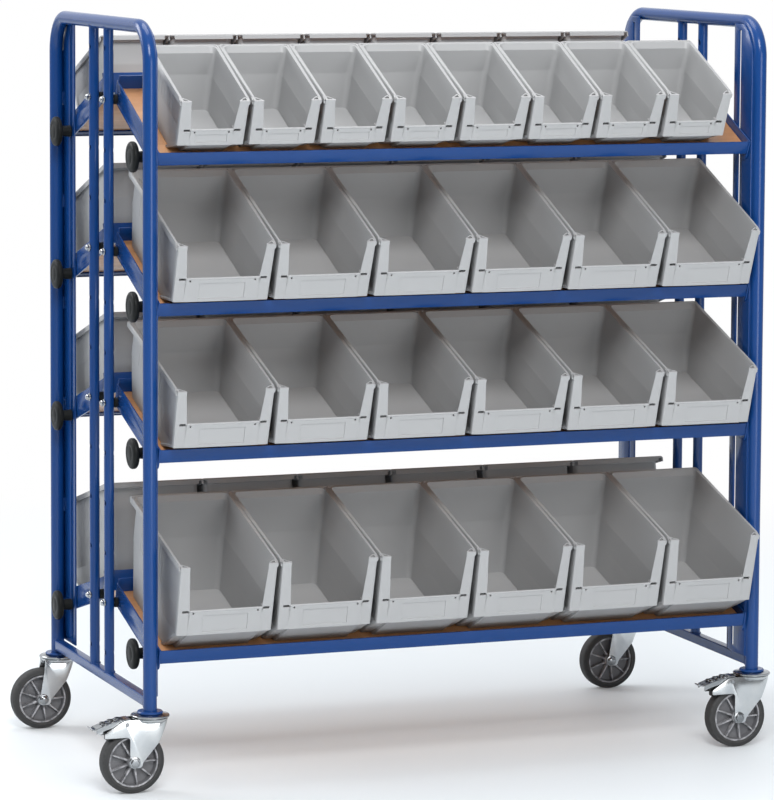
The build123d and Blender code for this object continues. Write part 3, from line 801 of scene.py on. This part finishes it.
def bin_mesh(width, height, rim_back, base_back, base_front, lip_front, tip_front, chin_h, lip_h):
    """One bin standing on z = 0, with y measured outwards from the shelf's pivot."""
    half_rim = width / 2
    front_gap_top = front_gap_share * width
    front_gap_low = front_gap_top + front_taper_share * width
    half_wall = half_rim - rim_w
    half_base = half_rim - base_inset
    post_low = half_base - post_low_w
    post_top = half_base - post_top_w
    wall_back = rim_back + rim_w + ledge
    step_z = lip_h + step_rise
    band_z = height - rim_h
    strip_z = chin_h + foot_strip_h
    label_z = lip_h - label_below_lip
    label_half = label_half_share * half_rim

    def back_at(z):
        if z <= step_z:
            return between(base_back + toe_in, wall_back, z / step_z)
        return wall_back - ledge * max(0.0, (z - band_z) / (height - band_z))

    def front_at(z, low):
        if z <= chin_h:
            return between(low, lip_front, z / chin_h)
        return between(lip_front, tip_front, (z - chin_h) / (height - chin_h))

    def half_ring(z, rim_share=0.0, drop=0.0, ease=0.0):
        """Points from the middle of the back round the right side to the middle of the front."""
        wall = between(half_base, half_wall, min(1.0, z / step_z)) - ease
        if z > step_z + 1 * mm:
            wall += wall_step
        half = between(wall, half_rim, rim_share)
        near_front = between(wall, half_rim - front_gap_top, rim_share)
        front_half = half_rim - between(front_gap_low, front_gap_top, z / height) - ease
        back = between(back_at(z) + ease, rim_back, rim_share)
        side_y = front_at(z, base_front - chin_step) - ease
        if z < chin_h - 0.5 * mm:
            side_y -= chin_undercut
        chin_y = front_at(z, base_front) - ease
        if chin_h <= z <= strip_z:
            chin_y += foot_strip
        post = between(post_low, post_top, max(0.0, (z - lip_h) / (height - lip_h)))
        corner_r = between(back_corner, rim_corner, rim_share)
        ring = [(0, back), (half - corner_r - between(1 * mm, notch_w, rim_share), back)]
        for n in range(5):
            angle = radians(90) * n / 4
            ring.append((half - corner_r * (1 - sin(angle)), back + corner_r * (1 - cos(angle))))
        ring += [(near_front, side_y - post_depth), (front_half, side_y - post_flat),
                 (front_half, side_y - nose), (front_half - 0.3 * nose, side_y - 0.3 * nose),
                 (front_half - nose, side_y)]
        ring += [(half_base - 4 * mm, side_y), (post + 2 * mm, side_y), (post, side_y)]
        ring += [(half_base - chin_corner, side_y), (half_base - chin_corner - 1.5 * mm, chin_y)]
        ring += [(half_base - dot_from, chin_y), (half_base - dot_from - dot_w, chin_y), (label_half, chin_y),
                 (0, chin_y)]
        return [(x, y, z + drop) for x, y in ring]

    levels = sorted({foot_ease, chin_h - 1 * mm, chin_h, strip_z, label_z, lip_h - slot_h - dot_w,
                     lip_h - slot_h, lip_h, lip_h + slot_h, step_z, step_z + 2 * mm, band_z})
    halves = [half_ring(0, ease=foot_ease)]
    halves += [half_ring(z) for z in levels]
    halves.append(half_ring(height))
    halves += [half_ring(height, rim_share=share, drop=drop) for share, drop in rim_steps]
    heights = [0.0] + levels + [height] * (1 + len(rim_steps))

    form = bmesh.new()
    rings = []
    for half in halves:
        left = [(-x, y, z) for x, y, z in reversed(half[1:-1])]
        rings.append([form.verts.new(point) for point in half + left])
    columns = len(rings[0])
    reach = len(halves[0])
    corner, slot_from, post_at, dot_at = reach - 12, reach - 9, reach - 7, reach - 4
    label, slots, dots = [], [], []
    for row, (low, high) in enumerate(zip(rings, rings[1:])):
        z = heights[row]
        for n in range(columns):
            column = n if n < reach - 1 else columns - 1 - n
            over_lip = z > lip_h - 0.1 * hair and column >= post_at
            over_rim = z > height - 0.1 * hair and column >= corner
            notch = row == len(rings) - 2 and 0 < column < 6
            if over_lip or over_rim or notch:
                continue
            face = form.faces.new((low[n], low[(n + 1) % columns], high[(n + 1) % columns], high[n]))
            if column == reach - 2 and strip_z - 0.1 * hair <= z < label_z - 0.1 * hair:
                label.append(face)
            if abs(z - lip_h + slot_h / 2) < 0.8 * slot_h and column == slot_from:
                slots.append(face)
            if abs(z - lip_h + slot_h + dot_w) < 0.1 * hair and column == dot_at:
                dots.append(face)
    form.faces.new(reversed(rings[0]))
    bmesh.ops.recalc_face_normals(form, faces=form.faces)
    for faces, edge, depth in ((label, label_edge, label_depth), (slots, hair, slot_depth),
                               (dots, hair, dot_depth)):
        bmesh.ops.inset_region(form, faces=faces, thickness=edge, depth=-depth, use_even_offset=True)
    bmesh.ops.delete(form, geom=[v for v in form.verts if not v.link_faces], context="VERTS")
    shell = worked(plain_mesh(form), ("SOLIDIFY", {"thickness": skin_t, "offset": -1.0}),
                   bevel(0.45 * mm, segments=1, angle=40))

    lip_y = front_at(lip_h, base_front) - lip_bead_r + 0.5 * mm
    bead = moved(turned(both_ends([(lip_bead_r, post_low), (0, post_low)]), 14),
                 offset(0, lip_y, lip_h) @ facing(1))
    tip_half = half_rim - front_gap_top
    top = [(tip_half, tip_front), (tip_half, tip_front - post_top_depth),
           (half_wall - 4.5 * mm, tip_front - post_depth), (post_top - 1 * mm, tip_front - 3 * mm),
           (post_top - 1 * mm, tip_front)]
    centre_x = sum(x for x, y in top) / len(top)
    centre_y = sum(y for x, y in top) / len(top)
    pit = [(between(x, centre_x, 0.5), between(y, centre_y, 0.5)) for x, y in top]
    details = []
    for way in (-1, 1):
        details.append(lofted([[(way * x, y, z) for x, y in outline]
                               for outline, z in ((top, band_z), (top, height), (pit, height),
                                                  (pit, band_z + 2 * mm))]))
        for n in range(rib_count):
            y = between(base_back, base_front, 0.5) + rib_pitch * (n - (rib_count - 1) / 2)
            outline = [(way * (half_wall + wall_step + rise), y + along)
                       for rise, along in ((-rib_sink, -rib_w / 2), (rib_t, -rib_w / 4), (rib_t, rib_w / 4),
                                           (-rib_sink, rib_w / 2))]
            details.append(prism(outline, step_z + 3 * mm, band_z + 1 * mm))
    return joined([shell, bead, *details])


def make_row():
    """Copies of a shape in a row along X."""
    tree, given = shape_tree("row", ("Shape", "Geometry", None), ("Count", "Int", 6), ("First", "Float", 0.0),
                             ("Pitch", "Float", 0.2))
    return close_tree(tree, given, on_points(tree, point_row(tree, given, "X"), given["Shape"]))


# Satin polypropylene, with faint flow clouds and a trace of dust
grey_plastic = mottled("grey_moulded_plastic", (0.345, 0.348, 0.352, 1), (0.355, 0.358, 0.362, 1),
                       (0.42, 0.46), 0.02 * mm, (4.0, 1100.0), dust=(0.04, 10.0), IOR=1.49,
                       Specular_IOR_Level=0.4)
row_of = make_row()
bin_shapes = {kind: bin_mesh(*(size * mm for size in sizes)) for kind, sizes in bin_sizes.items()}
for name, (side, tier) in shelves.items():
    kind, count, pitch = rows[tier]
    low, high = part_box(f"{name}_bins")
    middle = outward[side] * ((low.x + high.x) / 2 - joints[f"{name}_tilt"]["pos_m"][0])
    whole = grown(bin_shapes[kind].copy(), row_of, count=count, first=middle - pitch * (count - 1) / 2,
                  pitch=pitch, finish=grey_plastic)
    whole.transform(shelf_place(side, tier) @ offset(z=board_top))
    piece(f"{name}_bin_row", whole, grey_plastic, name, [f"{name}_bins"])


# Clamping knobs and their nuts
# Moulded black discs with a steel stud, one at each end of a shelf. The stud goes through the slots of guide
# plate and arm, and a zinc nut inside the arm takes it, so tightening the knob clamps the tilt.
knob_r = 30 * mm
knob_t = 14 * mm
neck_r = 12 * mm
neck_len = 23 * mm
knob_gap = 0.3 * mm
clamp_nut_t = 5 * mm
clamp_nut_r = 6 * mm
stud_past_nut = 0.6 * mm

face_z = neck_len + knob_t
knob_shape = turned([
    (0, 0), *near(neck_r, 0, (-1, 0), (0, 1)), *near(neck_r, neck_len, (-1.5, -5), (1, -0.5)),
    *near(knob_r, neck_len, (-7, 0), (-2.5, 0.8), (-0.6, 2.6), (0, 5), (0, 8.5)),
    *near(knob_r, face_z, (-1, -3.2), (-3.4, -1.4), (-7, -0.7)),
    *near(knob_r / 2, face_z, (1, -0.3), (0, -0.7), (-1, -0.2)), (0, face_z)], 64)
stud_len = arm_inner - leg_r + 2 * knob_gap + clamp_nut_t + stud_past_nut
knob_part = joined([knob_shape, shank(-stud_len, 1 * mm)])
clamp_nut = hexagon_on_collar(clamp_nut_r, clamp_nut_t, clamp_nut_r, hex_rise)
for name in shelves:
    knob_y, knob_z = joints[f"{name}_knob_turn"]["pos_m"][1:]
    knobs, nuts = [], []
    for end, x in end_x.items():
        way = inward[end]
        knobs.append(moved(knob_part, offset(x + way * (leg_r - knob_gap), knob_y, knob_z) @ facing(-way)))
        nuts.append(moved(clamp_nut, offset(x + way * (arm_inner + knob_gap), knob_y, knob_z) @ facing(way)))
    piece(f"{name}_clamping_knobs", joined(knobs), black_plastic, f"{name}_knob_pair",
          [f"{name}_knobs"], smooth=30)
    piece(f"{name}_hexagon_clamp_nuts", joined(nuts), zinc, f"{name}_clamp", [f"{name}_clamp_nuts"])


# Caster heads
# The upper bearing bowl of each swivel caster, pressed from zinc plated sheet and shown in a darker copy of
# the zinc, which is painted shade. Its stem goes up into the leg and expands there.
head_r = 38 * mm
head_z = 146.5 * mm
head_top = 153 * mm
stem_r = 6 * mm
stem_len = 30 * mm

# A darker copy of the zinc plating: painted shade on the caster heads, axle bolts and pedals
shaded_zinc = make_zinc("greased_zinc", (0.22, 0.23, 0.24, 1), (0.38, 0.39, 0.4, 1))
head_shape = turned([
    (0, head_z), *near(head_r, head_z, (-6, 0), (-1.5, 0.3), (0, 1.4), (0, 3.8)),
    *near(head_r, head_z, (-1.2, 5), (-5, 5.4), (-9, 5.9)), (head_r - 11 * mm, head_top),
    (stem_r, head_top), (stem_r, head_top + stem_len), (0, head_top + stem_len)], 64)
casters = [f"{row}_{end}" for end in ("left", "right") for row in ("front", "rear")]
braked_casters = [name for name in casters if name.startswith("front")]
swivel = {name: Vector(joints[f"{name}_swivel"]["pos_m"]) for name in casters}
stand = {name: offset(at.x, at.y) for name, at in swivel.items()}
piece("zinc_caster_heads", copied(head_shape, [(at.x, at.y, 0) for at in swivel.values()], shaded_zinc),
      shaded_zinc, "cart_frame", ["caster_heads"])


# Caster forks
# Pressed from zinc plated sheet: a round crown, two cheeks that taper to the axle, and on the braked casters
# two horns for the pedal, with a black brake block between them. A bolt and nut hold the wheel.
wheel_r = 62.5 * mm
trail = 37 * mm
fork_top = 146 * mm
crown_r = 35 * mm
crown_t = 9 * mm
sheet_t = 3 * mm
cheek_mid = 20 * mm
cheek_behind = 9 * mm
cheek_ahead = 16 * mm
cheek_low = wheel_r - 11 * mm
wrap_x = 6 * mm
wrap_steps = 12
bend_x = 13 * mm
bend_z = wheel_r + 38 * mm
horn_reach = 96 * mm
horn_z = wheel_r + 50 * mm
horn_tip = 9 * mm
pin_x = -52 * mm
axle_r = 5 * mm
axle_cap_r = 8.5 * mm
axle_washer_r = 11.5 * mm
axle_washer_t = 1.3 * mm
block_half_w = 16 * mm
block_arc_deg = (108, 140)
cheek_out = cheek_mid + sheet_t / 2


def rounded_outline(corners_with_radii, steps=6):
    """Points of a closed outline whose corners are eased by their own radii."""
    outline = []
    count = len(corners_with_radii)
    for n, (x, z, radius) in enumerate(corners_with_radii):
        here = Vector((x, z))
        back = (Vector(corners_with_radii[n - 1][:2]) - here).normalized()
        on = (Vector(corners_with_radii[(n + 1) % count][:2]) - here).normalized()
        reach = radius / tan(back.angle(on) / 2)
        first, last = here + back * reach, here + on * reach
        for k in range(steps + 1 if radius else 1):
            share = k / steps
            outline.append(first * (1 - share) ** 2 + here * 2 * share * (1 - share) + last * share ** 2)
    return outline


def solidified(thickness, middle):
    """A thickness to both sides of a skin, or all of it inwards."""
    return "SOLIDIFY", {"thickness": thickness, "offset": 0.0 if middle else -1.0, "use_even_offset": True}


def cheek_mesh(braked):
    """One cheek as a sheet that follows the crown round at its leading side."""
    nose_x = crown_r - 3 * mm
    back_x = -trail - cheek_behind
    crown_z = fork_top - 0.5 * mm
    front_x = cheek_ahead - trail
    outline = [(nose_x, crown_z, 0), (bend_x, bend_z, 22 * mm), (front_x, wheel_r - 2 * mm, 10 * mm),
               (front_x, cheek_low, 8 * mm), (back_x, cheek_low, 7 * mm)]
    if braked:
        outline += [(back_x, horn_z, 8 * mm), (-horn_reach, horn_z, 2 * mm),
                    (-horn_reach, horn_z + horn_tip, 4 * mm), (pin_x - 6 * mm, crown_z, 30 * mm)]
    else:
        outline += [(-nose_x, fork_top - crown_t, 6 * mm), (-nose_x, crown_z, 0)]
    form = bmesh.new()
    form.faces.new([form.verts.new((x, 0, z)) for x, z in rounded_outline(outline)])
    for n in range(wrap_steps):
        cut_across(form, (between(wrap_x, nose_x, n / wrap_steps), 0, 0), (1, 0, 0))
    for vert in form.verts:
        turn = max(0.0, (vert.co.x - wrap_x) / (nose_x - wrap_x))
        vert.co.y = cheek_mid * sqrt(1 - (0.93 * turn) ** 3)
    return worked(mesh_of(form), solidified(sheet_t, middle=True), bevel(0.7 * mm, angle=50))


def fork_mesh(braked):
    """The whole fork with its swivel axis at x = 0, y = 0."""
    crown = turned([(0, fork_top - crown_t), (crown_r - 9 * mm, fork_top - crown_t),
                    *near(crown_r, fork_top, (-4, -7), (-1, -3), (0, -1.2), (-0.6, -0.2), (-3, 0)),
                    (0, fork_top)], 64)
    cheek = cheek_mesh(braked)
    other = moved(cheek, Matrix.Scale(-1, 4, (0, 1, 0)))
    other.flip_normals()
    return joined([crown, cheek, other])


def axle_mesh(braked):
    """The axle bolt: a hexagon on the braked casters, a domed cap on the others."""
    washer = turned([(axle_r, 0), (axle_washer_r, 0), (axle_washer_r, 1 * mm),
                     (axle_washer_r - 0.5 * mm, axle_washer_t), (axle_r, axle_washer_t)], 40)
    if braked:
        cap = hexagon(axle_cap_r, 4 * mm)
    else:
        cap = turned([(0, 0), *near(axle_cap_r, 0, (0, 0), (0, 1.6)),
                      *near(0, 0, (7.4, 3), (5, 3.9), (0, 4.2))], 40)
    parts = [turned(both_ends([(axle_r, cheek_out), (0, cheek_out)]), 24)]
    for turn in (pi, 0):
        seat = Matrix.Rotation(turn, 4, "X") @ offset(z=cheek_out)
        parts += [moved(washer, seat), moved(cap, seat @ offset(z=axle_washer_t))]
    return moved(joined(parts), offset(-trail, 0, wheel_r) @ upright)


upright = Matrix.Rotation(pi / 2, 4, "X")
block_r = wheel_r + 3.5 * mm
block_arc = [radians(between(*block_arc_deg, n / 8)) for n in range(9)]
block_outline = [(block_r * cos(angle) - trail, block_r * sin(angle) + wheel_r) for angle in block_arc]
block_outline += [(8 * mm - horn_reach, horn_z + 5 * mm), (pin_x - 10 * mm, horn_z + 15.5 * mm)]
brake_block = worked(moved(prism(block_outline, -block_half_w, block_half_w), upright), bevel(0.8 * mm))
for name in casters:
    braked = name in braked_casters
    piece(f"{name}_pressed_fork", moved(fork_mesh(braked), stand[name]), zinc, f"{name}_caster",
          [f"{name}_fork"], smooth=40)
    piece(f"{name}_axle_bolt", moved(axle_mesh(braked), stand[name]), shaded_zinc, f"{name}_caster")
    if braked:
        piece(f"{name}_brake_block", moved(brake_block, stand[name]), black_plastic, f"{name}_caster")


# Wheel rims
# Moulded grey plastic: a hub, a thin web set back between the rings, and thin spokes from hub to ring on
# both sides. It turns on the axle bolt.
rim_r = 50 * mm
ring_t = 4 * mm
hub_r = 13 * mm
hub_bore_r = axle_r + 0.5 * mm
half_w = 16 * mm
web_half = 2.5 * mm
spoke_count = 9
spoke_w = 2.6 * mm
spoke_sink = 0.5 * mm


def make_spokes():
    """One spoke repeated round the Z axis."""
    tree, given = shape_tree("spokes", ("Spoke", "Geometry", None), ("Count", "Int", 9))
    ring = out(tree, "GeometryNodeMeshCircle", {"Vertices": given["Count"], "Radius": 0.001})
    number = out(tree, "GeometryNodeInputIndex")
    share = out(tree, "ShaderNodeMath", {0: number, 1: given["Count"]}, operation="DIVIDE")
    turn = out(tree, "ShaderNodeCombineXYZ", {"Z": times(tree, share, 2 * pi)})
    still = out(tree, "GeometryNodeSetPosition", {"Geometry": ring, "Position": (0, 0, 0)})
    return close_tree(tree, given, on_points(tree, still, given["Spoke"], Rotation=turn))


# Mid grey nylon, satin, with a painted highlight along its edges: a much paler tone there
rim_plastic = mottled("rim_plastic", (0.1, 0.1, 0.108, 1), (0.13, 0.13, 0.138, 1), (0.38, 0.55), 0.06 * mm,
                      (30.0, 900.0), edge_rub_and_highlight=(0.9, (0.5, 0.5, 0.52, 1), 0.51, 0.58, 90.0), IOR=1.5)
rim_profile = both_ends([
    *near(rim_r, half_w, (0, -2.6), (-0.6, -2)), *near(rim_r - ring_t, half_w, (0.6, -2), (0, -4)),
    (rim_r - ring_t - 1.5 * mm, web_half), (hub_r + 1.5 * mm, web_half),
    *near(hub_r, half_w, (0, -1), (-1, 0)), (hub_bore_r, half_w)])
rim_body = turned(rim_profile + rim_profile[:1], 72)
spoke_in, spoke_out = hub_r - spoke_sink, rim_r - ring_t + spoke_sink
spoke_sides = []
for way in (-1, 1):
    section = [(spoke_in, 1.5, half_w - 1.5 * mm), (spoke_out, 0.9, half_w - 4.5 * mm),
               (spoke_out, 0.9, web_half - spoke_sink), (spoke_in, 1.5, web_half - spoke_sink)]
    spoke_sides.append(lofted([[(x, turn * wide * spoke_w / 2, way * z) for x, wide, z in section]
                               for turn in (-1, 1)]))
spoke = worked(joined(spoke_sides), bevel(0.5 * mm))
rim_shape = joined([rim_body, grown(spoke, make_spokes(), count=spoke_count, finish=rim_plastic)])
hubs = {name: Matrix.Translation(joints[f"{name}_roll"]["pos_m"]) @ upright for name in casters}
for name, hub in hubs.items():
    piece(f"{name}_spoked_rim", moved(rim_shape, hub), rim_plastic, f"{name}_wheel",
          [f"{name}_wheel_rim"])


# Tyres
# Solid dark grey rubber pressed on the rim, with rounded shoulders, a raised line on each wall and a
# slightly crowned tread that has picked up dust.
tyre_in = rim_r + 0.1 * mm
line_r = tyre_in + 3.8 * mm

rubber = mottled("tyre_rubber", (0.024, 0.024, 0.025, 1), (0.034, 0.034, 0.034, 1), (0.6, 0.8), 0.12 * mm,
                 (22.0, 800.0), edge_rub_and_highlight=(0.4, (0.13, 0.125, 0.12, 1), 0.51, 0.58, 140.0), IOR=1.45)
tyre_profile = both_ends([
    *near(wheel_r, half_w, (0, -11), (-0.1, -7), (-0.6, -4.4), (-2, -2.2), (-4.5, -0.8)),
    *near(line_r, half_w, (0.6, -0.5), (0, 0)), *near(tyre_in, half_w, (3, 0), (1, -0.3), (0, -1.5))])
tyre_shape = turned(tyre_profile + tyre_profile[:1], 96)
for name, hub in hubs.items():
    piece(f"{name}_rubber_tyre", moved(tyre_shape, hub), rubber, f"{name}_wheel",
          [f"{name}_tyre"])


# Brake pedals
# A stamped zinc plated lever on a pin between the horns of the front forks: an arched tread with pierced
# holes, turned down sides, and a thin lip at the toe. Pressing it down blocks wheel and swivel.
pin_z = fork_top - 9 * mm
pedal_reach = 124 * mm
tread_from = pin_x + 8 * mm
tread_half = 16.5 * mm
tread_t = 2.2 * mm
tread_drop = 20 * mm
tread_steps = 14
tread_edge = 1.2 * mm
skirt = 10 * mm
pierce_r = 5.2 * mm
pierce_side = 7.4 * mm
pierce_xs = [pin_x - 11 * mm - 15 * mm * n for n in range(3)]


def make_pierced():
    """A plate with round holes cut through it along Z at given points."""
    tree, given = shape_tree("pierced", ("Plate", "Geometry", None), ("Holes", "Object", None),
                             ("Radius", "Float", 0.004), ("Depth", "Float", 0.06))
    punch = out(tree, "GeometryNodeMeshCylinder", {"Vertices": 20, "Radius": given["Radius"],
                                                   "Depth": given["Depth"]})
    punches = on_points(tree, shape_of(tree, given["Holes"]), punch)
    cut = out(tree, "GeometryNodeMeshBoolean", {"Mesh 1": given["Plate"], "Mesh 2": punches},
              operation="DIFFERENCE")
    return close_tree(tree, given, cut)


def tread_height(x):
    """Top of the tread, which arches down towards the toe."""
    share = (tread_from - x) / (tread_from + pedal_reach)
    return fork_top + 1.5 * mm - tread_drop * share ** 1.6


toe_x = 12 * mm - pedal_reach
toe_z = tread_height(toe_x) - 1 * mm
tread_sides = [(-tread_half, skirt), (-tread_half, tread_edge), (tread_edge - tread_half, 0)]
tread_sides += [(-y, lower) for y, lower in reversed(tread_sides)]
tread_loops = []
for n in range(tread_steps + 1):
    x = between(tread_from, toe_x, n / tread_steps)
    tread_loops.append([(x, y, tread_height(x) - lower) for y, lower in tread_sides])
tread = worked(lofted(tread_loops, closed=False), solidified(tread_t, middle=False))
hole_spots = [(x, y, tread_height(x)) for x in pierce_xs for y in (-pierce_side, pierce_side)]
spots = link_object("spots", points_mesh(hole_spots, edges=False))
pierced = grown(tread, make_pierced(), holes=spots, radius=pierce_r, depth=3 * tread_t, finish=zinc)
bpy.data.objects.remove(spots)
pierced = worked(pierced, bevel(0.3 * mm, segments=1, angle=50))
collar = turned(near(pierce_r, 0, (0, 0), (1.8, 0), (1.2, 1.8), (0, 2.2), (0, 0)), 20)
collars = [moved(collar, offset(x, y, z - 0.3 * mm)) for x, y, z in hole_spots]
toe_loops = [[(x, y, toe_z + rise) for y in (-half, half)] for x, rise, half in (
    (toe_x + 2 * mm, 0, 15 * mm), (toe_x - 3 * mm, -1.2 * mm, 14 * mm), (toe_x - 8 * mm, -0.6 * mm, 11 * mm),
    (1 * mm - pedal_reach, 2.6 * mm, 9 * mm))]
lip = worked(lofted(toe_loops, closed=False), solidified(1.8 * mm, middle=True), bevel(0.5 * mm))
pin_seat = offset(pin_x, 0, pin_z) @ upright
pin = moved(turned(both_ends(near(0, cheek_out, (3, 0), (4.4, 0), (3.4, 1), (0, 1))), 24), pin_seat)
hub_roll = moved(turned(both_ends(near(0, tread_half, (6.6, -1), (6, 0), (3.2, 0))), 32), pin_seat)
pedal_shape = joined([pierced, *collars, lip, pin, hub_roll])
for name in braked_casters:
    piece(f"{name}_stamped_pedal", moved(pedal_shape, stand[name]), shaded_zinc, f"{name}_pedal",
          [f"{name}_brake_pedal"], smooth=40)


# Floor, world and lamps
# A plain pale studio floor that fades to white with distance, a white surround that lights less from the
# front than from behind, and large soft lamps.
floor_half = 30.0
fade_from = 1.6
fade_to = 3.4

floor_mesh = bpy.data.meshes.new("floor")
floor_mesh.from_pydata([(-floor_half, -floor_half, 0), (floor_half, -floor_half, 0),
                        (floor_half, floor_half, 0), (-floor_half, floor_half, 0)], [], [(0, 1, 2, 3)])
floor_material = bpy.data.materials.new("pale_floor")
tree = emptied(floor_material)
away = node(tree, "ShaderNodeVectorMath", {0: object_place(tree)}, operation="LENGTH").outputs["Value"]
matt = out(tree, "ShaderNodeBsdfPrincipled", {"Base Color": (0.75, 0.79, 0.815, 1), "Roughness": 0.55,
                                              "Specular IOR Level": 0.3})
glow = out(tree, "ShaderNodeEmission", {"Color": (1, 1, 1, 1), "Strength": 1.0})
camera_ray = node(tree, "ShaderNodeLightPath").outputs["Is Camera Ray"]
faded = times(tree, camera_ray, map_range(tree, away, fade_from, fade_to, 0.1, 1.0))
surface = out(tree, "ShaderNodeMixShader", {0: faded, 1: matt, 2: glow})
node(tree, "ShaderNodeOutputMaterial", {"Surface": surface})
floor_mesh.materials.append(floor_material)
floor = link_object("floor", floor_mesh)

scene.world = bpy.data.worlds.new("studio")
tree = emptied(scene.world)
direction = node(tree, "ShaderNodeTexCoord").outputs["Generated"]
seen_way = node(tree, "ShaderNodeSeparateXYZ", {"Vector": direction}).outputs
front_level = map_range(tree, seen_way["Z"], 0.0, 0.9, 0.2, 0.75)
sky_level = map_range(tree, seen_way["Y"], -0.1, 0.6, front_level, 1.0)
soft = out(tree, "ShaderNodeBackground", {"Color": (0.95, 0.97, 1.0, 1), "Strength": sky_level})
white = out(tree, "ShaderNodeBackground", {"Color": (1, 1, 1, 1), "Strength": 1.0})
camera_ray = node(tree, "ShaderNodeLightPath").outputs["Is Camera Ray"]
around = out(tree, "ShaderNodeMixShader", {0: camera_ray, 1: soft, 2: white})
node(tree, "ShaderNodeOutputWorld", {"Surface": around})


def softbox(name, at, towards, size, watts):
    """A large square lamp that points at a place."""
    lamp = bpy.data.lights.new(name, "AREA")
    lamp.shape = "SQUARE"
    lamp.size = size
    lamp.energy = watts
    made = bpy.data.objects.new(name, lamp)
    made.location = at
    made.rotation_euler = (Vector(towards) - Vector(at)).to_track_quat("-Z", "Y").to_euler()
    scene.collection.objects.link(made)


softbox("key_lamp", (-1.7, -5.2, 4.9), (0, 0, 0.6), 2.6, 330)
softbox("front_lamp", (0.8, -5.6, 1.2), (0, 0, 0.7), 2.4, 80)
softbox("top_lamp", (-0.2, 0.4, 4.4), (0, 0, 0.7), 2.2, 70)
softbox("rear_lamp", (-3.2, 2.8, 3.0), (0, 0, 0.7), 2.0, 80)


# Camera
# It stands at the photograph's place, in front of the cart and to its left, at its height and angle. The
# sizes in pixels are those of the photograph.
photo_w, photo_h = 774, 800
focal_px = 4027.3
centre_px = (387, 280)
yaw, pitch, roll = radians(20.763), radians(5.565), radians(0.297)
from_near_leg = (-2.2880, -7.3121, 1.7395)
camera_at = Vector((end_x["left"], leg_y["front"], 0)) + Vector(from_near_leg)

lens = bpy.data.cameras.new("photo_camera")
lens.sensor_width = 36
lens.lens = focal_px / max(photo_w, photo_h) * lens.sensor_width
lens.shift_x = (photo_w / 2 - centre_px[0]) / max(photo_w, photo_h)
lens.shift_y = -(photo_h / 2 - centre_px[1]) / max(photo_w, photo_h)
lens.clip_end = 100
camera = bpy.data.objects.new("photo_camera", lens)
ahead = Vector((sin(yaw) * cos(pitch), cos(yaw) * cos(pitch), -sin(pitch)))
right = Vector((cos(yaw), -sin(yaw), 0))
up = right.cross(ahead)
tilted_right = right * cos(roll) + up * sin(roll)
tilted_up = up * cos(roll) - right * sin(roll)
turn = Matrix((tilted_right, tilted_up, -ahead)).transposed().to_4x4()
camera.matrix_world = Matrix.Translation(camera_at) @ turn
scene.collection.objects.link(camera)
scene.camera = camera
scene.view_settings.view_transform = "Standard"

bpy.context.view_layer.update()
